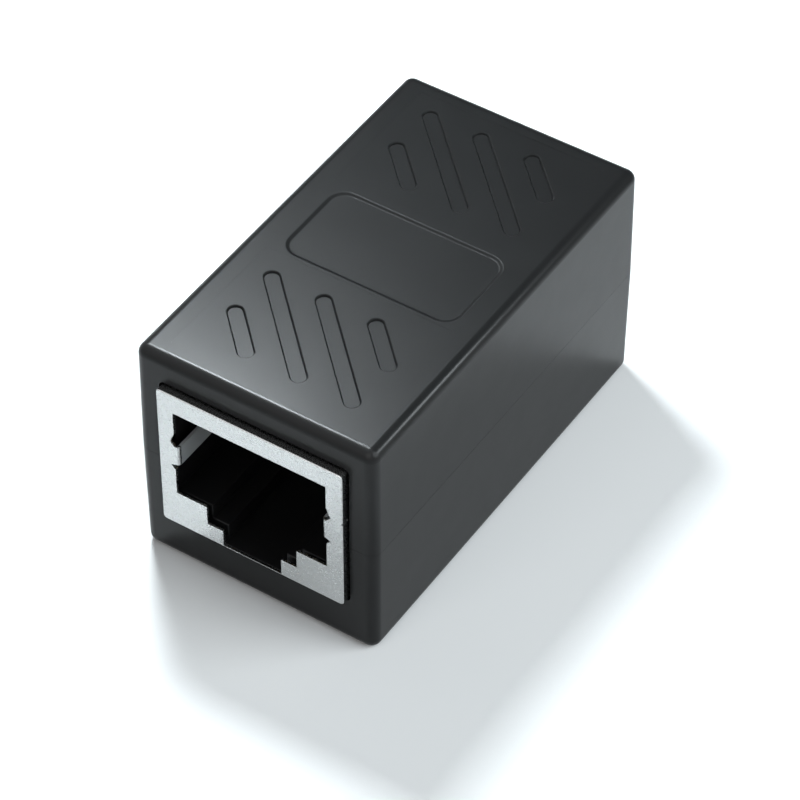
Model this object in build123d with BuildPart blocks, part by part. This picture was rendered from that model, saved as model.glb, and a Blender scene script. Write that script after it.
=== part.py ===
from build123d import *
from math import radians, sqrt, tan
import os

os.makedirs("parts", exist_ok=True)

# In-line coupler for two shielded network plugs, one in each end.
# Millimetres. X is the width, Y the length with the front port facing -Y, Z is up.
# The origin is at the middle of the underside, where the coupler rests.

# Shield can of folded sheet, one at each end
can_width = 14.56
can_height = 12.22
sheet = 0.2
can_corner = 0.3
fold_edge = 0.06
through_sheet = 0.6
seam_width = 0.12
seam_set_back = 0.6
nick_size = 0.16
nick_height = 7.77

# Opening for the plug: a wide part for its body and two steps below for its latch
opening_width = 12.0
opening_height = 7.55
opening_top_margin = 1.6
step_width = 7.18
step_height = 1.6
latch_width = 4.66
slot_lip = 0.1

# Spring tabs that are folded in from both sides of the opening
tab_height = 1.67
tab_drop = 3.16
tab_inset = 0.23
tab_length = 7.2
tab_spread = 0.1
tab_bend = 0.2
notch_width = 0.35
notch_peak = 0.3
upper_notch = 1.21
lower_notch = 0.52

# Solder tails of a can, one on each side at its own height
tail_width = 1.2
high_tail = 8.4
low_tail = 3.4
tail_reach = 0.6

# Insulating jack body inside each can
fit = 0.05
body_recess = 0.66
body_depth = 14.7
body_edge = 0.1
rear_wall = 2.8
latch_floor = 0.2
latch_wall = 0.4
foot_size = 1.0
cavity_side_room = 0.35
ledge_drop = 0.42

# Spring contacts, eight in each jack, numbered from the left as seen from outside
contact_count = 8
contact_pitch = 1.02
contact_width = 0.4
contact_thickness = 0.3
contact_bend = 0.3
contact_rise = 0.5
contact_fold = 0.76
contact_set_back = 2.8
contact_droop = 3.6
contact_row_gap = 2.54
contact_tail = 0.7

# Carrier that holds the contacts, a tray over the plug with a block behind it
carrier_side = 0.83
carrier_front_room = 0.1
carrier_block_height = 5.75
comb_depth = 1.2
groove_room = 0.1

# Circuit board that stands between the two jacks
board_thickness = 1.0
board_gap = 1.1
board_side_room = 0.1
hole_room = 0.12
hole_sides = 12
solder_radius = 0.5
solder_sides = 8
solder_height = 0.45
solder_slope = 22
bead_slope = 12

# Moulded shell in two halves
shell_wall = 1.6
side_room = 0.52
top_room = 0.7
bottom_room = 2.48
plate_stand = 0.56
window_gap = 0.15
shell_edge = 0.76
draft = 0.39
seam_gap = 0.02
seam_depth = 0.04
rib_thickness = 1.0
rib_pitch = 4.2
rib_count = 3
board_rib_reach = 0.35
board_rib_height = 1.2
tongue_thickness = 0.7
tongue_height = 0.8
tongue_length = 24.0

# Sunk panels on the top: a label field between two fields of diagonal grooves
label_width = 13.7
label_length = 7.25
label_corner = 1.35
label_depth = 0.12
label_slope = 60
label_edge = 0.25
label_shift = 0.12
field_width = 14.9
field_gap = 0.3
field_length = 11.0
field_corner = 0.3
field_depth = 0.008
groove_width = 1.17
groove_depth = 0.17
groove_slope = 25
groove_edge = 0.05
groove_count = 4
groove_pitch = 2.92
groove_span_width = 11.1
groove_span_length = 6.7
groove_spacing = 19.25
groove_shift_x = -0.1
groove_shift_y = 0.17

# Distances from the middle of the board out to each port
board_face = board_thickness / 2
body_rear = board_face + board_gap
body_front = body_rear + body_depth
plate_front = body_front + body_recess
shell_end = plate_front - plate_stand
shell_length = 2 * shell_end
cavity_rear = body_rear + rear_wall

# Widths across the coupler
shell_inner_width = can_width + 2 * side_room
shell_width = shell_inner_width + 2 * shell_wall
body_width = can_width - 2 * (sheet + fit)
carrier_width = (contact_count - 1) * contact_pitch + contact_width + 2 * carrier_side

# Heights above the surface that the coupler stands on
can_bottom = shell_wall + bottom_room
can_top = can_bottom + can_height
can_middle = (can_bottom + can_top) / 2
shell_height = can_top + top_room + shell_wall
parting = shell_height / 2
opening_top = can_top - opening_top_margin
ledge = opening_top - opening_height
step_floor = ledge - step_height
slot_floor = can_bottom + slot_lip
body_bottom = can_bottom + sheet + fit
body_top = can_top - sheet - fit
tab_top = opening_top - tab_drop
tab_bottom = tab_top - tab_height
wire_top_run = opening_top + contact_rise
row_heights = (wire_top_run, wire_top_run - contact_row_gap)

contact_places = [
    (i - (contact_count - 1) / 2) * contact_pitch for i in range(contact_count)
]


def tail_height(number):
    """Height of the solder tail of a contact: odd numbers above, even numbers below."""
    return row_heights[(number + 1) % 2]


def opening_outline(side_room=0, drop=0):
    """Stepped outline of the plug opening, seen from outside, its upper part made wider and deeper."""
    half, step, latch = opening_width / 2 + side_room, step_width / 2, latch_width / 2
    right = [(half, opening_top), (half, ledge - drop), (step, ledge - drop), (step, step_floor)]
    right += [(latch, step_floor), (latch, slot_floor)]
    return right + [(-x, z) for x, z in reversed(right)]


def level(edge):
    """Whether an edge keeps to one height."""
    return edge.bounding_box().size.Z < fit / 2


# Shield can: face plate with the stepped opening, walls folded back, tabs and tails
with BuildPart() as front_shield:
    with BuildSketch(Plane.XZ.offset(plate_front)):
        with Locations((0, can_middle)):
            RectangleRounded(can_width, can_height, can_corner)
    extrude(amount=body_rear - plate_front)
    chamfer(front_shield.faces().sort_by(Axis.Y)[0].edges(), fold_edge)
    with BuildSketch(Plane.XZ.offset(plate_front - sheet)):
        with Locations((0, can_middle)):
            RectangleRounded(can_width - 2 * sheet, can_height - 2 * sheet, can_corner - sheet)
    extrude(amount=body_rear - plate_front + sheet, mode=Mode.SUBTRACT)

    # opening in the face plate, with the relief notches of the tabs
    with BuildSketch(Plane.XZ.offset(plate_front)):
        with BuildLine():
            Polyline(*opening_outline(), close=True)
        make_face()
        for side in (-1, 1):
            edge_x = side * opening_width / 2
            inner_x = edge_x - side * tab_inset
            outer_x = edge_x + side * notch_width
            with BuildLine():
                Polyline(
                    (inner_x, tab_top),
                    (edge_x, tab_top),
                    (outer_x, tab_top + notch_peak * upper_notch),
                    (edge_x, tab_top + upper_notch),
                    (inner_x, tab_top + upper_notch),
                    close=True,
                )
            make_face()
            with BuildLine():
                Polyline(
                    (inner_x, tab_bottom),
                    (edge_x, tab_bottom),
                    (outer_x, tab_bottom - notch_peak * lower_notch),
                    (edge_x, tab_bottom - lower_notch),
                    (inner_x, tab_bottom - lower_notch),
                    close=True,
                )
            make_face()
    extrude(amount=-sheet, mode=Mode.SUBTRACT)

    # the underside is split behind the face plate, where the latch channel comes through
    with Locations((0, -body_rear, can_bottom)):
        Box(
            latch_width + 2 * (latch_wall + fit),
            plate_front - body_rear - sheet,
            through_sheet,
            align=(Align.CENTER, Align.MAX, Align.CENTER),
            mode=Mode.SUBTRACT,
        )

    # open seams where the underside meets the side walls, and the two nicks in the plate
    seam_x = can_width / 2 - can_corner
    with Locations((-seam_x, -body_rear, can_bottom), (seam_x, -body_rear, can_bottom)):
        Box(
            seam_width,
            plate_front - body_rear - seam_set_back,
            through_sheet,
            align=(Align.CENTER, Align.MAX, Align.CENTER),
            mode=Mode.SUBTRACT,
        )
    with BuildSketch(Plane.XZ.offset(plate_front)):
        with Locations(*[(side * can_width / 2, can_bottom + nick_height) for side in (-1, 1)]):
            Rectangle(nick_size, nick_size, rotation=45)
    extrude(amount=-through_sheet, mode=Mode.SUBTRACT)

    # spring tabs, folded in through a right angle and running back along the plug
    with BuildSketch(Plane.XY.offset(tab_bottom)):
        for side in (-1, 1):
            tab_x = side * (opening_width / 2 - tab_inset)
            with BuildLine() as tab_path:
                FilletPolyline(
                    (side * (opening_width / 2 + notch_width), sheet / 2 - plate_front),
                    (tab_x, sheet / 2 - plate_front),
                    (tab_x, tab_length / 2 - plate_front),
                    (tab_x + side * tab_spread, tab_length - plate_front),
                    radius=tab_bend,
                )
            trace(tab_path.line, line_width=sheet)
    extrude(amount=tab_height)

    # solder tails
    for side, height in ((-1, high_tail), (1, low_tail)):
        with Locations((side * (can_width - sheet) / 2, -body_rear - sheet, can_bottom + height)):
            Box(
                sheet,
                body_rear + sheet + board_face + tail_reach,
                tail_width,
                align=(Align.CENTER, Align.MIN, Align.CENTER),
            )
front_shield.part.label = "front_shield"

# Jack body: a block with the plug cavity, a pocket for the carrier and feet on the board
with BuildPart() as front_body:
    with BuildSketch(Plane.XZ.offset(body_front)):
        with Locations((0, can_middle)):
            RectangleRounded(body_width, body_top - body_bottom, can_corner - sheet)
    extrude(amount=-body_depth)

    with BuildSketch(Plane.XZ.offset(plate_front)):
        with BuildLine():
            Polyline(*opening_outline(cavity_side_room, ledge_drop), close=True)
        make_face()
    extrude(amount=cavity_rear - plate_front, mode=Mode.SUBTRACT)
    cavity_edge_x = opening_width / 2 + cavity_side_room
    front_rim = (
        front_body.edges()
        .group_by(Axis.Y)[0]
        .filter_by_position(Axis.X, -cavity_edge_x - fit, cavity_edge_x + fit)
        .filter_by_position(Axis.Z, body_bottom + fit, opening_top + fit)
    )
    fillet(front_rim, body_edge)

    # latch channel, which comes down through the can and forward to its plate
    with Locations((0, -body_rear, slot_floor - latch_floor)):
        Box(
            latch_width + 2 * latch_wall,
            plate_front - body_rear - sheet - fit,
            body_bottom - slot_floor + 2 * latch_floor,
            align=(Align.CENTER, Align.MAX, Align.MIN),
        )
    with Locations((0, -cavity_rear, slot_floor)):
        Box(
            latch_width,
            plate_front - cavity_rear,
            step_floor - slot_floor,
            align=(Align.CENTER, Align.MAX, Align.MIN),
            mode=Mode.SUBTRACT,
        )

    # slot in the roof for the tray, and the pocket behind the cavity for the block
    with Locations((0, -body_rear, opening_top)):
        Box(
            carrier_width + 2 * fit,
            plate_front - body_rear - contact_set_back + carrier_front_room + contact_thickness + fit,
            body_top - opening_top,
            align=(Align.CENTER, Align.MAX, Align.MIN),
            mode=Mode.SUBTRACT,
        )
    with Locations((0, -body_rear, body_top)):
        Box(
            carrier_width + 2 * fit,
            rear_wall,
            carrier_block_height + fit,
            align=(Align.CENTER, Align.MAX, Align.MAX),
            mode=Mode.SUBTRACT,
        )

    # feet that set the body off from the board
    foot_x = (body_width - foot_size) / 2 - can_corner
    foot_z = (body_top - body_bottom - foot_size) / 2 - can_corner
    for x in (-foot_x, foot_x):
        for z in (can_middle - foot_z, can_middle + foot_z):
            with Locations((x, -body_rear, z)):
                Box(foot_size, board_gap, foot_size, align=(Align.CENTER, Align.MIN, Align.CENTER))
front_body.part.label = "front_body"

# Contact carrier: tray and block with a groove and a comb slot for each contact
groove_size = contact_width + 2 * groove_room
groove_top = wire_top_run + contact_thickness / 2 + fit
tray_reach = plate_front - contact_set_back + contact_thickness / 2 + carrier_front_room
with BuildPart() as front_carrier:
    with Locations((0, -body_rear, body_top)):
        Box(
            carrier_width,
            tray_reach - body_rear,
            body_top - opening_top - fit,
            align=(Align.CENTER, Align.MAX, Align.MAX),
        )
        Box(
            carrier_width,
            rear_wall,
            carrier_block_height,
            align=(Align.CENTER, Align.MAX, Align.MAX),
        )
    for number, x in enumerate(contact_places, start=1):
        with Locations((x, -body_rear, groove_top)):
            Box(
                groove_size,
                tray_reach - body_rear,
                groove_top - opening_top - fit,
                align=(Align.CENTER, Align.MAX, Align.MAX),
                mode=Mode.SUBTRACT,
            )
        with Locations((x, -cavity_rear, groove_top)):
            Box(
                groove_size,
                comb_depth,
                contact_droop + contact_thickness + groove_top - wire_top_run,
                align=(Align.CENTER, Align.MIN, Align.MAX),
                mode=Mode.SUBTRACT,
            )
        if number % 2 == 0:
            with Locations((x, -body_rear, groove_top)):
                Box(
                    groove_size,
                    contact_bend + contact_thickness + fit,
                    groove_top - tail_height(number) + contact_thickness / 2 + fit,
                    align=(Align.CENTER, Align.MAX, Align.MAX),
                    mode=Mode.SUBTRACT,
                )
front_carrier.part.label = "front_carrier"


def contact_route(number):
    """Centre line of one contact in the Y-Z plane, from its free end to its solder tail."""
    nose = contact_set_back - plate_front
    height = tail_height(number)
    route = [
        (contact_thickness - cavity_rear + contact_bend, wire_top_run - contact_droop),
        (nose, wire_top_run - contact_fold),
        (nose, wire_top_run),
    ]
    if height < wire_top_run:
        drop = -body_rear - contact_bend - contact_thickness / 2
        route += [(drop, wire_top_run), (drop, height)]
    return route + [(board_face + contact_tail, height)]


def contact_radii(number):
    """Radius of each bend on the way. The two in the jog of a lower tail are sharp."""
    return [contact_bend, contact_bend] if number % 2 else [contact_bend, contact_bend, 0, 0]


# Contacts: flat wire bent back under the tray, springing down into the plug opening
front_contacts = []
for number, x in enumerate(contact_places, start=1):
    with BuildPart() as contact:
        with BuildSketch(Plane.YZ.offset(x - contact_width / 2)):
            with BuildLine() as path:
                FilletPolyline(*contact_route(number), radius=contact_radii(number))
            trace(path.line, line_width=contact_thickness)
        extrude(amount=contact_width)
    contact.part.label = f"front_contact_{number}"
    front_contacts.append(contact.part)

# Circuit board with the holes for both jacks
board_width = shell_inner_width - 2 * board_side_room
board_height = shell_height - 2 * shell_wall - 2 * board_side_room
with BuildPart() as circuit_board:
    with Locations((0, 0, shell_wall + board_side_room)):
        Box(board_width, board_thickness, board_height, align=(Align.CENTER, Align.CENTER, Align.MIN))
    with BuildSketch(Plane.XZ.offset(board_face)):
        for turn in (-1, 1):
            for number, x in enumerate(contact_places, start=1):
                with Locations((turn * x, tail_height(number))):
                    RegularPolygon(contact_width / 2 + hole_room, hole_sides)
            for side, height in ((-1, high_tail), (1, low_tail)):
                with Locations((turn * side * (can_width - sheet) / 2, can_bottom + height)):
                    Rectangle(sheet + hole_room, tail_width + hole_room)
    extrude(amount=-board_thickness, mode=Mode.SUBTRACT)
circuit_board.part.label = "circuit_board"

# Solder joints: a bead round each contact tail and round each tail of the cans
rear_face = Plane(origin=(0, board_face, 0), x_dir=(1, 0, 0), z_dir=(0, 1, 0))
with BuildPart() as front_solder:
    with BuildSketch(rear_face):
        for number, x in enumerate(contact_places, start=1):
            with Locations((x, -tail_height(number))):
                RegularPolygon(solder_radius, solder_sides)
    extrude(amount=solder_height, taper=solder_slope)
    for number, x in enumerate(contact_places, start=1):
        with Locations((x, board_face, tail_height(number))):
            Box(
                contact_width,
                solder_height,
                contact_thickness,
                align=(Align.CENTER, Align.MIN, Align.CENTER),
                mode=Mode.SUBTRACT,
            )
    with BuildSketch(rear_face):
        for side, height in ((-1, high_tail), (1, low_tail)):
            with Locations((side * (can_width - sheet) / 2, -can_bottom - height)):
                Rectangle(sheet + 2 * hole_room, tail_width + 2 * hole_room)
    extrude(amount=solder_height, taper=bead_slope)
    for side, height in ((-1, high_tail), (1, low_tail)):
        with Locations((side * (can_width - sheet) / 2, board_face, can_bottom + height)):
            Box(
                sheet,
                solder_height,
                tail_width,
                align=(Align.CENTER, Align.MIN, Align.CENTER),
                mode=Mode.SUBTRACT,
            )
with BuildPart() as solder_joints:
    add(front_solder.part)
    add(front_solder.part.rotate(Axis.Z, 180))
solder_joints.part.label = "solder_joints"

# Parts of the shell that both halves share
rib_places = [side * (cavity_rear + k * rib_pitch) for side in (-1, 1) for k in range(rib_count)]
groove_rib = board_face + fit + rib_thickness / 2
tongue_x = (shell_inner_width + tongue_thickness) / 2


def shell_half(outward, depth):
    """Outer form of one half: a drafted block from the parting plane, its edges rounded."""
    with BuildPart() as half:
        with BuildSketch(Plane(origin=(0, 0, parting), x_dir=(1, 0, 0), z_dir=(0, 0, outward))):
            Rectangle(shell_width, shell_length)
        extrude(amount=depth, taper=draft)
        flat_rim = half.faces().sort_by(Axis.Z)[0 if outward > 0 else -1].edges()
        fillet([e for e in half.edges() if e not in flat_rim], shell_edge)
    return half.part


def side_ribs(bottom, top):
    """Ribs on both side walls: one pair beside each can rib and one pair round the board."""
    for side in (-1, 1):
        wall = side * shell_inner_width / 2
        into = Align.MAX if side > 0 else Align.MIN
        with Locations(*[(wall, y, bottom) for y in rib_places]):
            Box(side_room - fit, rib_thickness, top - bottom, align=(into, Align.CENTER, Align.MIN))
        with Locations(*[(wall, y, bottom) for y in (-groove_rib, groove_rib)]):
            Box(board_rib_reach, rib_thickness, top - bottom, align=(into, Align.CENTER, Align.MIN))


# Room for the two windows in the end walls, in which the cans stand
with BuildPart() as windows:
    for end in (-1, 1):
        with BuildSketch(Plane.XZ.offset(end * (shell_end - shell_wall / 2))):
            with Locations((0, can_middle)):
                RectangleRounded(
                    can_width + 2 * window_gap, can_height + 2 * window_gap, can_corner + window_gap
                )
        extrude(amount=shell_wall, both=True)

# Lower shell: a tray with cross ribs under the cans and a tongue along each side
with BuildPart() as lower_shell:
    add(shell_half(-1, parting))
    with BuildSketch(Plane.XY.offset(parting)):
        Rectangle(shell_width + shell_wall, shell_length + shell_wall)
        RectangleRounded(
            shell_width - 2 * seam_depth, shell_length - 2 * seam_depth, shell_edge, mode=Mode.SUBTRACT
        )
    extrude(amount=-seam_gap, mode=Mode.SUBTRACT)
    with Locations((0, 0, parting)):
        Box(
            shell_inner_width,
            shell_length - 2 * shell_wall,
            parting - shell_wall,
            align=(Align.CENTER, Align.CENTER, Align.MAX),
            mode=Mode.SUBTRACT,
        )
    with Locations(*[(0, y, shell_wall) for y in rib_places]):
        Box(
            shell_inner_width,
            rib_thickness,
            bottom_room - fit,
            align=(Align.CENTER, Align.CENTER, Align.MIN),
        )
        Box(
            latch_width + 2 * (latch_wall + fit),
            rib_thickness,
            bottom_room,
            align=(Align.CENTER, Align.CENTER, Align.MIN),
            mode=Mode.SUBTRACT,
        )
    with Locations(*[(0, y, shell_wall) for y in (-groove_rib, groove_rib)]):
        Box(
            shell_inner_width,
            rib_thickness,
            board_rib_height,
            align=(Align.CENTER, Align.CENTER, Align.MIN),
        )
    side_ribs(shell_wall, parting)
    with Locations(*[(side * tongue_x, 0, parting) for side in (-1, 1)]):
        Box(
            tongue_thickness,
            tongue_length,
            tongue_height,
            align=(Align.CENTER, Align.CENTER, Align.MIN),
        )
    add(windows.part, mode=Mode.SUBTRACT)
lower_shell.part.label = "lower_shell"

# Upper shell: the cover, with the groove for the tongues and the sunk panels on top
with BuildPart() as upper_shell:
    add(shell_half(1, shell_height - parting))
    with Locations((0, 0, parting)):
        Box(
            shell_inner_width,
            shell_length - 2 * shell_wall,
            shell_height - parting - shell_wall,
            align=(Align.CENTER, Align.CENTER, Align.MIN),
            mode=Mode.SUBTRACT,
        )
    with Locations(*[(0, y, shell_height - shell_wall) for y in rib_places]):
        Box(
            shell_inner_width,
            rib_thickness,
            top_room - fit,
            align=(Align.CENTER, Align.CENTER, Align.MAX),
        )
    with Locations(*[(0, y, shell_height - shell_wall) for y in (-groove_rib, groove_rib)]):
        Box(
            carrier_width,
            rib_thickness,
            board_rib_height,
            align=(Align.CENTER, Align.CENTER, Align.MAX),
        )
    side_ribs(parting + tongue_height + fit, shell_height - shell_wall)
    with Locations(*[(side * tongue_x, 0, parting) for side in (-1, 1)]):
        Box(
            tongue_thickness + 2 * fit,
            tongue_length + 2 * fit,
            tongue_height + fit,
            align=(Align.CENTER, Align.CENTER, Align.MIN),
            mode=Mode.SUBTRACT,
        )
    add(windows.part, mode=Mode.SUBTRACT)

    # label field with a gently sloping wall, rounded above and below
    label_inset = label_depth * tan(radians(label_slope))
    with BuildSketch(Plane.XY.offset(shell_height - label_depth)):
        with Locations((label_shift, 0)):
            RectangleRounded(
                label_width - 2 * label_inset,
                label_length - 2 * label_inset,
                label_corner - label_inset,
            )
    extrude(amount=label_depth, taper=-label_slope, mode=Mode.SUBTRACT)
    label_bends = (
        upper_shell.edges()
        .filter_by_position(Axis.X, label_shift - label_width / 2 - fit, label_shift + label_width / 2 + fit)
        .filter_by_position(Axis.Y, -label_length / 2 - fit, label_length / 2 + fit)
        .filter_by_position(Axis.Z, shell_height - label_depth - fit, shell_height + fit)
        .filter_by(level)
    )
    fillet(label_bends, label_edge)

    # fields of the grooves, sunk by a hair
    field_y = (label_length + field_length) / 2 + field_gap
    with BuildSketch(Plane.XY.offset(shell_height)):
        with Locations((0, -field_y), (0, field_y)):
            RectangleRounded(field_width, field_length, field_corner)
    extrude(amount=-field_depth, mode=Mode.SUBTRACT)

    groove_floor_width = groove_width - 2 * groove_depth * tan(radians(groove_slope))

    # diagonal grooves with sloping walls, each cut off by the span of its group
    with BuildSketch(Plane.XY.offset(shell_height - groove_depth)):
        for end in (-1, 1):
            for k in range(groove_count):
                place = (k - (groove_count - 1) / 2) * groove_pitch * sqrt(2)
                left = max(-groove_span_width, 2 * place - groove_span_length) / 2
                right = min(groove_span_width, 2 * place + groove_span_length) / 2
                middle = (left + right) / 2
                with Locations(
                    (groove_shift_x + middle, groove_shift_y + end * groove_spacing / 2 + place - middle)
                ):
                    SlotCenterToCenter((right - left) * sqrt(2), groove_floor_width, rotation=-45)
    extrude(amount=groove_depth, taper=-groove_slope, mode=Mode.SUBTRACT)
    field_floor = shell_height - field_depth
    half_step = field_depth / 2
    fields = upper_shell.faces().filter_by_position(Axis.Z, field_floor - half_step, field_floor + half_step)
    groove_rims = [edge for field in fields for wire in field.inner_wires() for edge in wire.edges()]
    chamfer(groove_rims, groove_edge)
upper_shell.part.label = "upper_shell"


def rear_twin(part):
    """The same piece at the other end, turned half way round the upright axis."""
    with BuildPart() as twin:
        add(part.rotate(Axis.Z, 180))
    twin.part.label = part.label.replace("front", "rear")
    return twin.part


pieces = [upper_shell.part, lower_shell.part, circuit_board.part, solder_joints.part]
for part in [front_shield.part, front_body.part, front_carrier.part, *front_contacts]:
    pieces += [part, rear_twin(part)]

for piece in pieces:
    export_step(piece, f"parts/{piece.label}.step")
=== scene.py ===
"""Finishes of a network cable coupler, and the pale table top that it stands on."""

import math
from typing import NamedTuple

import bpy
from bpy.props import FloatProperty, FloatVectorProperty, PointerProperty
from mathutils import Euler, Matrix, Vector


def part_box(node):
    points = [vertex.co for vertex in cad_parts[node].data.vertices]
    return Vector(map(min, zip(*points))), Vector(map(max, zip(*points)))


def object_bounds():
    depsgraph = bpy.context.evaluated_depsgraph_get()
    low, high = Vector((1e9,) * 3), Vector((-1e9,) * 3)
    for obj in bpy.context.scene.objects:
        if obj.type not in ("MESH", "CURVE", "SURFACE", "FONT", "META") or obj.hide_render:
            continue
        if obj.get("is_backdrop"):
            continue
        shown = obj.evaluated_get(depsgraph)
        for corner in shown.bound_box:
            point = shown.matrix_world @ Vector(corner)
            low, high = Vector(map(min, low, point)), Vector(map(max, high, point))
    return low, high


bl_info = {
    "name": "Network Cable Coupler",
    "version": (1, 0, 0),
    "blender": (4, 5, 0),
    "location": "3D View > Sidebar > Coupler",
    "description": "Gives the coupler its finishes and sets it on a pale table top",
    "category": "Object",
}

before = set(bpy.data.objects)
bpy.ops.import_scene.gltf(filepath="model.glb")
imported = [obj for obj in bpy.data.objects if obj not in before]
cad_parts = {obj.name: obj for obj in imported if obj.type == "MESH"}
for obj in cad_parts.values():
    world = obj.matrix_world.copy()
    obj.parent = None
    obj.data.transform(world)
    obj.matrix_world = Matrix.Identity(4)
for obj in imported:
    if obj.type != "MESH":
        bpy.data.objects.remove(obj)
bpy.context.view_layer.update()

MM = 0.001
ENDS = ("front", "rear")
CONTACT_NUMBERS = range(1, 9)
SHELLS = ["upper_shell", "lower_shell"]
SHIELDS = [f"{end}_shield" for end in ENDS]
JACKS = [f"{end}_{piece}" for end in ENDS for piece in ("body", "carrier")]
CONTACTS = [f"{end}_contact_{number}" for end in ENDS for number in CONTACT_NUMBERS]
BOARD = ["circuit_board"]
SOLDER = ["solder_joints"]

# Faces that meet at a wider angle keep a sharp edge
SHARP_ANGLE = math.radians(28)

# Cuts in the shell's top: how far in from its sides, how deep at most, and the slopes of their walls
TOP_MARGIN = 1.2 * MM
DEEPEST_CUT = 0.2 * MM
WALL_SLOPES = (0.02, 0.9999)

# A can: its front sheet with the fold, the outer band that its walls fill and where they get painted shade,
# the frame beside its opening
FRONT_SHEET = 0.3 * MM
WALL_BAND = 0.35 * MM
FRAME_WIDTH = 1.2 * MM
FACES_SIDEWAYS = 0.5

# The Mix node's sockets for colours, by number, as its other data types use the same names
COLOR_SOCKETS = (6, 7)
COLOR_RESULT = 2

WHITE = (1.0, 1.0, 1.0)
FLOOR_SIZE = 4.0
MATT = 0.9

# The black card, in metres: its lower corners on the table and its height
CARD_RIGHT = (0.236, 0.185)
CARD_LEFT = (-0.5, 0.35)
CARD_HEIGHT = 0.53

SENSOR_WIDTH = 36.0
CLIP_START, CLIP_END = 0.01, 10.0


class Lamp(NamedTuple):
    """A round lamp: its direction from the coupler's middle, distance and width in metres, and strength."""

    name: str
    direction: tuple
    distance: float
    size: float
    strength: str
    tinted: bool = True
    lights_matt_surfaces: bool = True


LAMPS = (
    Lamp("key_lamp", (-0.42, 0.32, 0.85), 0.12, 0.024, "key"),
    Lamp("second_lamp", (-0.50, 0.30, 0.81), 0.12, 0.024, "second"),
    Lamp("edge_lamp", (0.750, 0.345, 0.563), 0.0565, 0.014, "edge", lights_matt_surfaces=False),
    Lamp("overhead_softbox", (0.0, 0.0, 1.0), 1.0, 1.15, "overhead"),
    Lamp("right_softbox", (0.77, 0.18, 0.62), 1.0, 0.98, "right"),
    Lamp("front_softbox", (0.1, -0.75, 0.65), 1.0, 0.9, "front", tinted=False),
)


class Finish:
    """A material in the making: its node tree, and the shader that it ends in."""

    def __init__(self, name, color, roughness, metallic=0.0):
        self.material = bpy.data.materials.new(name)
        self.material.use_nodes = True
        self.tree = self.material.node_tree
        self.shader = self.tree.nodes["Principled BSDF"]
        self.shader.inputs["Base Color"].default_value = (*color, 1.0)
        self.shader.inputs["Roughness"].default_value = roughness
        self.shader.inputs["Metallic"].default_value = metallic
        self.place = self.node("TexCoord").outputs["Object"]
        self.bump = None

    def node(self, kind, sockets=None, **settings):
        """A new node with its settings, and its sockets set to values or linked to other sockets."""
        made = self.tree.nodes.new("ShaderNode" + kind)
        for name, value in settings.items():
            setattr(made, name, value)
        for name, value in (sockets or {}).items():
            if isinstance(value, bpy.types.NodeSocket):
                self.tree.links.new(value, made.inputs[name])
            else:
                made.inputs[name].default_value = value
        return made

    def stretched(self, scale):
        """Place on the object with each axis scaled, for grain that runs one way."""
        return self.node("Mapping", {"Vector": self.place, "Scale": scale}).outputs["Vector"]

    def noise(self, size, detail=2.0, place=None):
        """Cloudy values from 0 to 1 with blobs of about the given size in millimetres."""
        sockets = {"Vector": place or self.place, "Scale": 1 / (size * MM), "Detail": detail}
        return self.node("TexNoise", sockets).outputs["Fac"]

    def spread(self, value, low, high, start=0.3, end=0.7):
        """The value's middle stretch mapped to run from low to high."""
        sockets = {"Value": value, "From Min": start, "From Max": end, "To Min": low, "To Max": high}
        return self.node("MapRange", sockets).outputs["Result"]

    def math(self, operation, first, second=0.0):
        """One sum on two values, such as MULTIPLY or GREATER_THAN."""
        return self.node("Math", {0: first, 1: second}, operation=operation).outputs["Value"]

    def blend(self, value, first, second):
        """A colour between two, by a value from 0 to 1."""
        colors = [c if isinstance(c, bpy.types.NodeSocket) else (*c, 1.0) for c in (first, second)]
        sockets = {0: value, COLOR_SOCKETS[0]: colors[0], COLOR_SOCKETS[1]: colors[1]}
        return self.node("Mix", sockets, data_type="RGBA").outputs[COLOR_RESULT]

    def vary_color(self, value, color, darker, lighter):
        """Base colour that runs by a value from 0 to 1, darker and lighter by the given shares."""
        self.link(self.blend(value, shaded(color, 1 - darker), shaded(color, 1 + lighter)), "Base Color")

    def vary_roughness(self, value, roughness, by):
        """Roughness that runs by a value from 0 to 1, down and up by the given amount."""
        self.link(self.spread(value, roughness - by, roughness + by), "Roughness")

    def soften(self, radius):
        """Edges seen as rounded by the given radius in millimetres."""
        self.bump = self.node("Bevel", {"Radius": radius * MM}, samples=6).outputs["Normal"]

    def relief(self, height, depth):
        """Bumps from a value from 0 to 1, the given depth in millimetres, over those made before."""
        sockets = {"Height": height, "Distance": depth * MM, "Strength": 1.0}
        if self.bump:
            sockets["Normal"] = self.bump
        self.bump = self.node("Bump", sockets).outputs["Normal"]

    def link(self, value, socket):
        """Feeds a value or colour to a socket of the shader."""
        self.tree.links.new(value, self.shader.inputs[socket])

    def done(self):
        """The finished material."""
        if self.bump:
            self.link(self.bump, "Normal")
        return self.material


def shaded(color, share):
    """A colour times a share."""
    return tuple(channel * share for channel in color)


def dress(names, *materials, choose=None):
    """Gives the named pieces their finishes, chosen face by face, and shades curved faces smooth."""
    for name in names:
        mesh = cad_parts[name].data
        mesh.materials.clear()
        for material in materials:
            mesh.materials.append(material)
        for face in mesh.polygons:
            face.material_index = choose(face) if choose else 0
        mesh.shade_smooth()
        mesh.set_sharp_from_angle(angle=SHARP_ANGLE)


def colour(name, description, default):
    """A colour that the panel shows."""
    return FloatVectorProperty(
        name=name, description=description, subtype="COLOR", size=3, min=0.0, max=1.0, default=default
    )


def share(name, description, default):
    """A value from 0 to 1 that the panel shows."""
    return FloatProperty(
        name=name, description=description, subtype="FACTOR", min=0.0, max=1.0, default=default
    )


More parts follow.
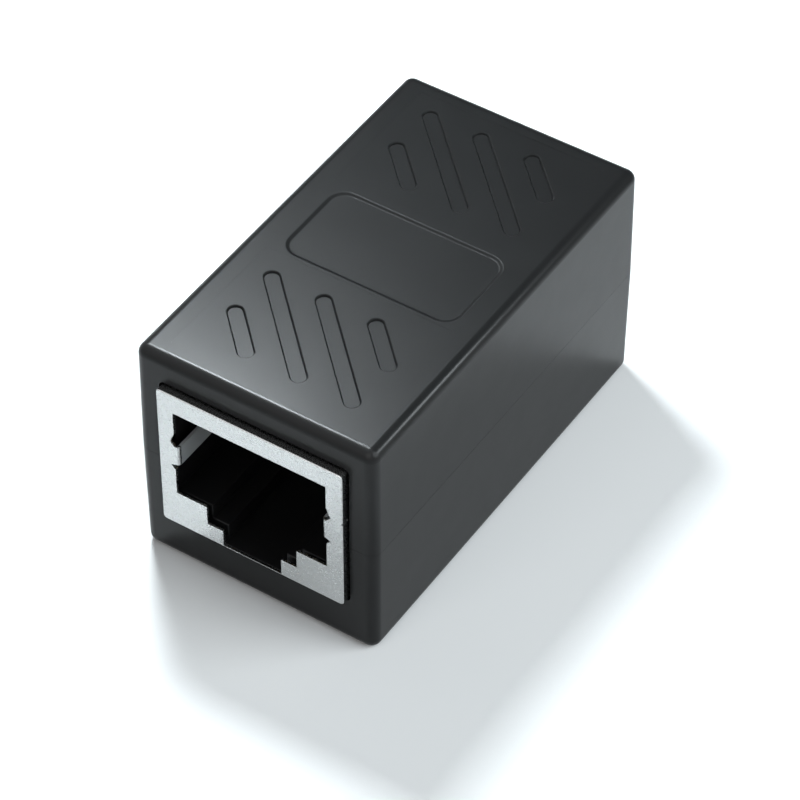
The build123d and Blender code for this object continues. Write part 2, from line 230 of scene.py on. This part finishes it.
def length(name, description, default):
    """A length that the panel shows, given in millimetres."""
    return FloatProperty(
        name=name, description=description, subtype="DISTANCE", unit="LENGTH", min=0.0, default=default * MM,
        precision=5
    )


def power(name, description, default):
    """The strength of a lamp that the panel shows, in watts."""
    return FloatProperty(name=name, description=description, subtype="POWER", min=0.0, default=default)


class ShellLooks(bpy.types.PropertyGroup):
    """Looks of the two halves of the shell."""

    color: colour("Plastic", "Colour of the satin black plastic", (0.0108, 0.0111, 0.0114))
    roughness: share("Roughness", "How dull the moulded surface is", 0.34)
    gloss: share("Gloss", "How strongly the surface mirrors, with 0.5 for common plastic", 0.105)
    coat: share("Coat", "Strength of the thin glossy skin, which draws sharp lights on the edges", 0.14)
    coat_roughness: share("Coat Roughness", "How dull the glossy skin is", 0.17)
    recess_roughness: share("Recess Roughness", "How dull the walls of the sunk fields are", 0.45)
    grain: length("Grain", "Width of the fine grain left by the mould", 0.07)


class ShieldLooks(bpy.types.PropertyGroup):
    """Looks of the folded shield cans."""

    color: colour("Plating", "Colour of the nickel plating", (0.52, 0.53, 0.53))
    roughness: share("Roughness", "How dull the plating is", 0.27)
    # Walls: share of the plating's brightness left on the outer can walls, painted shade that stands in for
    # the shaded gap round the can
    walls: share("Walls", "Brightness of the darkened outer walls against the face plate", 0.4)
    tabs: colour("Tabs", "Colour of the tabs inside the opening", (0.42, 0.44, 0.45))
    tab_roughness: share("Tab Roughness", "How dull the tabs are", 0.6)
    tab_metal: share("Tab Metal", "How metallic the tabs look", 0.35)
    grain: length("Grain", "Width of the grain in the rolled sheet", 0.09)


class JackLooks(bpy.types.PropertyGroup):
    """Looks of the jack bodies and contact carriers."""

    color: colour("Plastic", "Colour of the black jack plastic", (0.005, 0.005, 0.0055))
    gloss: share("Gloss", "How strongly the surface mirrors, with 0.5 for common plastic", 0.22)
    roughness: share("Roughness", "How dull the plastic is", 0.42)


class ContactLooks(bpy.types.PropertyGroup):
    """Looks of the spring contacts."""

    color: colour("Plating", "Colour of the gold plating", (0.83, 0.58, 0.24))
    roughness: share("Roughness", "How dull the plating is", 0.24)


class BoardLooks(bpy.types.PropertyGroup):
    """Looks of the circuit board and its solder."""

    mask: colour("Mask", "Colour of the solder mask", (0.015, 0.13, 0.045))
    laminate: colour("Laminate", "Colour of the bare edge", (0.42, 0.36, 0.17))
    solder: colour("Solder", "Colour of the solder", (0.62, 0.63, 0.64))
    weave: length("Weave", "Pitch of the glass cloth in the laminate", 0.4)


class StageLooks(bpy.types.PropertyGroup):
    """The camera, the lamps and the table top."""

    azimuth: FloatProperty(
        name="Azimuth", description="Camera's turn round the upright axis", subtype="ANGLE",
        default=math.radians(33.18)
    )
    elevation: FloatProperty(
        name="Elevation", description="Camera's height above the horizon", subtype="ANGLE",
        default=math.radians(45.367)
    )
    roll: FloatProperty(
        name="Roll", description="Camera's turn about its own line of sight", subtype="ANGLE",
        default=math.radians(0.07)
    )
    distance: length("Distance", "From the camera to the point it looks at", 252.61)
    aim_right: length("Aim Right", "How far right of the middle the camera looks", 2.79)
    aim_ahead: length("Aim Ahead", "How far ahead of the middle the camera looks", 3.35)
    lens: FloatProperty(name="Lens", description="Focal length in millimetres", min=1.0, default=168.95)
    floor: share("Floor", "How pale the table top is", 0.86)
    sky: share("Sky", "Strength of the light from all round", 0.02)
    tint: colour("Tint", "Colour of the light", (0.89, 0.965, 1.0))
    key: power("Key", "Strength of the small near lamp at the left", 0.130)
    second: power("Second", "Strength of the lamp beside the key lamp", 0.045)
    overhead: power("Overhead", "Strength of the large soft lamp overhead", 1.12)
    right: power("Right", "Strength of the large soft lamp at the right", 8.9)
    front: power("Front", "Strength of the large soft lamp at the front", 2.5)
    edge: power("Edge", "Strength of the lamp that lines the right edge of the top", 0.0085)
    card: share("Card", "Colour of the black card behind the coupler, which shows in its gloss", 0.01)


class CouplerLooks(bpy.types.PropertyGroup):
    """All the looks that the panel shows."""

    shell: PointerProperty(type=ShellLooks)
    shield: PointerProperty(type=ShieldLooks)
    jack: PointerProperty(type=JackLooks)
    contact: PointerProperty(type=ContactLooks)
    board: PointerProperty(type=BoardLooks)
    stage: PointerProperty(type=StageLooks)


class DressShells(bpy.types.Operator):
    """Give both halves of the shell their satin black plastic"""

    bl_idname = "coupler.dress_shells"
    bl_label = "Dress Shells"

    def execute(self, context):
        looks = context.scene.coupler.shell
        skin = self.plastic("satin_black_plastic", looks, looks.roughness)
        skin.shader.inputs["Coat Weight"].default_value = looks.coat
        skin.shader.inputs["Coat Roughness"].default_value = looks.coat_roughness
        recess = self.plastic("dull_black_plastic", looks, looks.recess_roughness)
        low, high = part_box("upper_shell")

        def sunk_wall(face):
            """1 for the walls of the label field and the grooves, which are cut into the flat of the top."""
            place = face.center
            flat = abs(place.x) < high.x - TOP_MARGIN and abs(place.y) < high.y - TOP_MARGIN
            steepest, flattest = WALL_SLOPES
            return int(flat and place.z > high.z - DEEPEST_CUT and steepest < face.normal.z < flattest)

        dress(SHELLS, skin.done(), recess.done(), choose=sunk_wall)
        return {"FINISHED"}

    def plastic(self, name, looks, roughness):
        """Black plastic with fine mould grain."""
        finish = Finish(name, looks.color, roughness)
        finish.shader.inputs["Specular IOR Level"].default_value = looks.gloss
        finish.vary_color(finish.noise(size=6.0, detail=3.0), looks.color, darker=0.08, lighter=0.08)
        finish.vary_roughness(finish.noise(size=2.4, detail=4.0), roughness, by=0.015)
        finish.relief(finish.noise(size=looks.grain / MM, detail=2.0), depth=0.0012)
        finish.relief(finish.noise(size=1.6, detail=1.0), depth=0.003)
        return finish


class DressShields(bpy.types.Operator):
    """Give the shield cans their dull nickel plating, with painted shade on the outer walls"""

    bl_idname = "coupler.dress_shields"
    bl_label = "Dress Shields"

    def execute(self, context):
        looks = context.scene.coupler.shield
        plate = self.plating("dull_nickel_plating", looks, looks.color, looks.roughness)
        # The outer walls get a darker copy of the plating: painted shade for the shaded gap between the can
        # and the shell
        painted_shade_color = shaded(looks.color, looks.walls)
        walls = self.plating("dark_nickel_plating", looks, painted_shade_color, looks.roughness, depth=0.0003)
        tabs = self.plating("brushed_nickel_plating", looks, looks.tabs, looks.tab_roughness)
        tabs.shader.inputs["Metallic"].default_value = looks.tab_metal
        low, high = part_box("front_shield")
        middle = (low + high) / 2

        def part_of_can(face):
            """0 for the face plate, 1 for the outer walls behind it, which get painted shade, 2 for the tabs
            inside the opening.
            """
            place = face.center
            beside = abs(place.x) > high.x - WALL_BAND
            above = abs(place.z - middle.z) > high.z - middle.z - WALL_BAND
            behind = abs(place.y) < -low.y - FRONT_SHEET
            if (beside or above) and (behind or abs(face.normal.y) < FACES_SIDEWAYS):
                return 1
            return 2 if behind and abs(place.x) < high.x - FRAME_WIDTH else 0

        dress(SHIELDS, plate.done(), walls.done(), tabs.done(), choose=part_of_can)
        return {"FINISHED"}

    def plating(self, name, looks, color, roughness, depth=0.001):
        """Nickel plating over finely rolled sheet."""
        finish = Finish(name, color, roughness, metallic=1.0)
        grain = finish.noise(size=looks.grain / MM, detail=3.0)
        finish.vary_color(grain, color, darker=0.05, lighter=0.05)
        finish.vary_roughness(grain, roughness, by=0.04)
        rolled = finish.noise(size=1.0, detail=3.0, place=finish.stretched((0.12, 1.0, 12.0)))
        finish.soften(radius=0.04)
        finish.relief(grain, depth=depth)
        finish.relief(rolled, depth=0.0004)
        return finish


class DressJacks(bpy.types.Operator):
    """Give the jack bodies and contact carriers their black plastic"""

    bl_idname = "coupler.dress_jacks"
    bl_label = "Dress Jacks"

    def execute(self, context):
        looks = context.scene.coupler.jack
        finish = Finish("black_jack_plastic", looks.color, looks.roughness)
        finish.shader.inputs["Specular IOR Level"].default_value = looks.gloss
        grain = finish.noise(size=0.12, detail=2.0)
        finish.vary_roughness(grain, looks.roughness, by=0.04)
        finish.vary_color(finish.noise(size=3.0, detail=2.0), looks.color, darker=0.15, lighter=0.15)
        finish.soften(radius=0.04)
        finish.relief(grain, depth=0.0015)
        dress(JACKS, finish.done())
        return {"FINISHED"}


class DressContacts(bpy.types.Operator):
    """Give the spring contacts their gold plating"""

    bl_idname = "coupler.dress_contacts"
    bl_label = "Dress Contacts"

    def execute(self, context):
        looks = context.scene.coupler.contact
        finish = Finish("gold_plating", looks.color, looks.roughness, metallic=1.0)
        drawn = finish.noise(size=0.3, detail=3.0, place=finish.stretched((6.0, 0.2, 6.0)))
        finish.vary_color(drawn, looks.color, darker=0.1, lighter=0.08)
        finish.vary_roughness(drawn, looks.roughness, by=0.06)
        finish.relief(drawn, depth=0.001)
        dress(CONTACTS, finish.done())
        return {"FINISHED"}


class DressBoard(bpy.types.Operator):
    """Give the circuit board its green mask and the joints their solder"""

    bl_idname = "coupler.dress_board"
    bl_label = "Dress Board"

    def execute(self, context):
        looks = context.scene.coupler.board
        mask = Finish("green_board", looks.mask, 0.3)
        normal = mask.node("TexCoord").outputs["Normal"]
        broad_side = mask.math("ABSOLUTE", mask.node("SeparateXYZ", {0: normal}).outputs["Y"])
        cloth = mask.math(
            "MULTIPLY",
            mask.noise(size=looks.weave / MM, detail=0.0, place=mask.stretched((1.0, 1.0, 0.15))),
            mask.noise(size=looks.weave / MM, detail=0.0, place=mask.stretched((0.15, 1.0, 1.0))),
        )
        green = mask.blend(mask.spread(cloth, 0.0, 1.0, 0.1, 0.4), shaded(looks.mask, 0.8), looks.mask)
        mask.link(mask.blend(broad_side, looks.laminate, green), "Base Color")
        mask.relief(cloth, depth=0.01)
        dress(BOARD, mask.done())
        solder = Finish("bright_solder", looks.solder, 0.25, metallic=1.0)
        frost = solder.noise(size=0.2, detail=4.0)
        solder.vary_roughness(frost, 0.27, by=0.09)
        solder.relief(frost, depth=0.006)
        dress(SOLDER, solder.done())
        return {"FINISHED"}


def seen_directly(tree):
    """1 for a ray that shows the surface to the eye, in a mirror or through glass, 0 for one that lights."""
    rays = tree.nodes.new("ShaderNodeLightPath").outputs
    seen = rays["Is Camera Ray"]
    for kind in ("Is Glossy Ray", "Is Transmission Ray"):
        either = tree.nodes.new("ShaderNodeMath")
        either.operation = "MAXIMUM"
        tree.links.new(seen, either.inputs[0])
        tree.links.new(rays[kind], either.inputs[1])
        seen = either.outputs["Value"]
    return seen


class SetStage(bpy.types.Operator):
    """Lay the table top, hang the lamps and aim the camera"""

    bl_idname = "coupler.set_stage"
    bl_label = "Set Stage"

    def execute(self, context):
        looks = context.scene.coupler.stage
        self.table_top(looks)
        self.sky(context.scene, looks)
        for lamp in LAMPS:
            self.hang(lamp, looks)
        self.dark_card(looks)
        self.camera(context.scene, looks)
        return {"FINISHED"}

    def table_top(self, looks):
        """A wide pale floor under the coupler."""
        bpy.ops.mesh.primitive_plane_add(size=FLOOR_SIZE, location=(0.0, 0.0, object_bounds()[0].z))
        floor = bpy.context.active_object
        floor.name = "table_top"
        pale = (looks.floor,) * 3
        finish = Finish("pale_table_top", pale, MATT)
        finish.shader.inputs["Specular IOR Level"].default_value = 0.0
        finish.link(finish.blend(seen_directly(finish.tree), pale, WHITE), "Base Color")
        floor.data.materials.append(finish.done())
        floor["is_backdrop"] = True

    def hang(self, lamp, looks):
        """A lamp that looks at the coupler's middle, out of the camera's sight."""
        data = bpy.data.lights.new(lamp.name, "AREA")
        data.shape = "DISK"
        data.size = lamp.size
        data.energy = getattr(looks, lamp.strength)
        data.color = looks.tint if lamp.tinted else WHITE
        hung = bpy.data.objects.new(lamp.name, data)
        bpy.context.scene.collection.objects.link(hung)
        low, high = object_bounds()
        towards = Vector(lamp.direction).normalized()
        hung.location = (low + high) / 2 + towards * lamp.distance
        hung.rotation_euler = towards.to_track_quat("Z", "Y").to_euler()
        hung.visible_camera = False
        hung.visible_diffuse = lamp.lights_matt_surfaces

    def dark_card(self, looks):
        """A black card that stands behind the coupler, out of sight but for the gloss of its edges."""
        right, left, top = CARD_RIGHT, CARD_LEFT, CARD_HEIGHT
        corners = [(*right, 0.0), (*left, 0.0), (*left, top), (*right, top)]
        mesh = bpy.data.meshes.new("black_card")
        mesh.from_pydata(corners, [], [(0, 1, 2, 3)])
        card = bpy.data.objects.new("black_card", mesh)
        bpy.context.scene.collection.objects.link(card)
        mesh.materials.append(Finish("black_felt", (looks.card,) * 3, MATT).done())
        card.visible_camera = card.visible_diffuse = card.visible_shadow = False
        card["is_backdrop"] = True

    def sky(self, scene, looks):
        """Even light from all round, seen by the camera as plain white."""
        world = bpy.data.worlds.new("white_sky")
        world.use_nodes = True
        tree = world.node_tree
        glow = tree.nodes["Background"]
        glow.inputs["Color"].default_value = (*looks.tint, 1.0)
        glow.inputs["Strength"].default_value = looks.sky
        white = tree.nodes.new("ShaderNodeBackground")
        white.inputs["Color"].default_value = (*WHITE, 1.0)
        either = tree.nodes.new("ShaderNodeMixShader")
        tree.links.new(seen_directly(tree), either.inputs["Fac"])
        tree.links.new(glow.outputs["Background"], either.inputs[1])
        tree.links.new(white.outputs["Background"], either.inputs[2])
        tree.links.new(either.outputs["Shader"], tree.nodes["World Output"].inputs["Surface"])
        scene.world = world
        scene.view_settings.view_transform = "Standard"

    def camera(self, scene, looks):
        """The camera at the angle of the photograph."""
        data = bpy.data.cameras.new("camera")
        data.sensor_width = SENSOR_WIDTH
        data.lens = looks.lens
        data.clip_start, data.clip_end = CLIP_START, CLIP_END
        camera = bpy.data.objects.new("camera", data)
        scene.collection.objects.link(camera)
        low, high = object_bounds()
        aim = Vector((looks.aim_right, -looks.aim_ahead, (low.z + high.z) / 2))
        turn = Euler((math.pi / 2 - looks.elevation, 0.0, looks.azimuth)).to_matrix()
        camera.location = aim + turn @ Vector((0.0, 0.0, looks.distance))
        roll = Euler((0.0, 0.0, looks.roll)).to_matrix()
        camera.rotation_euler = (turn @ roll).to_euler()
        scene.camera = camera


class CouplerPanel(bpy.types.Panel):
    """Lists the steps and the looks of the coupler"""

    bl_idname = "VIEW3D_PT_coupler"
    bl_label = "Network Cable Coupler"
    bl_space_type = "VIEW_3D"
    bl_region_type = "UI"
    bl_category = "Coupler"

    def draw(self, context):
        looks = context.scene.coupler
        for step, group in STEPS:
            box = self.layout.box()
            box.operator(step.bl_idname)
            chosen = getattr(looks, group)
            for name in chosen.bl_rna.properties.keys():
                if name not in ("rna_type", "name"):
                    box.prop(chosen, name)


STEPS = (
    (DressShells, "shell"),
    (DressShields, "shield"),
    (DressJacks, "jack"),
    (DressContacts, "contact"),
    (DressBoard, "board"),
    (SetStage, "stage"),
)
LOOKS = (ShellLooks, ShieldLooks, JackLooks, ContactLooks, BoardLooks, StageLooks, CouplerLooks)
CLASSES = (*LOOKS, *(step for step, group in STEPS), CouplerPanel)


def register():
    """Makes the panel, its steps and its looks known to Blender."""
    for item in CLASSES:
        bpy.utils.register_class(item)
    bpy.types.Scene.coupler = PointerProperty(type=CouplerLooks)


def unregister():
    """Takes them out again."""
    del bpy.types.Scene.coupler
    for item in reversed(CLASSES):
        bpy.utils.unregister_class(item)


def main():
    """Runs every step in order."""
    register()
    for step, group in STEPS:
        area, name = step.bl_idname.split(".")
        getattr(getattr(bpy.ops, area), name)()


if __name__ == "__main__":
    main()
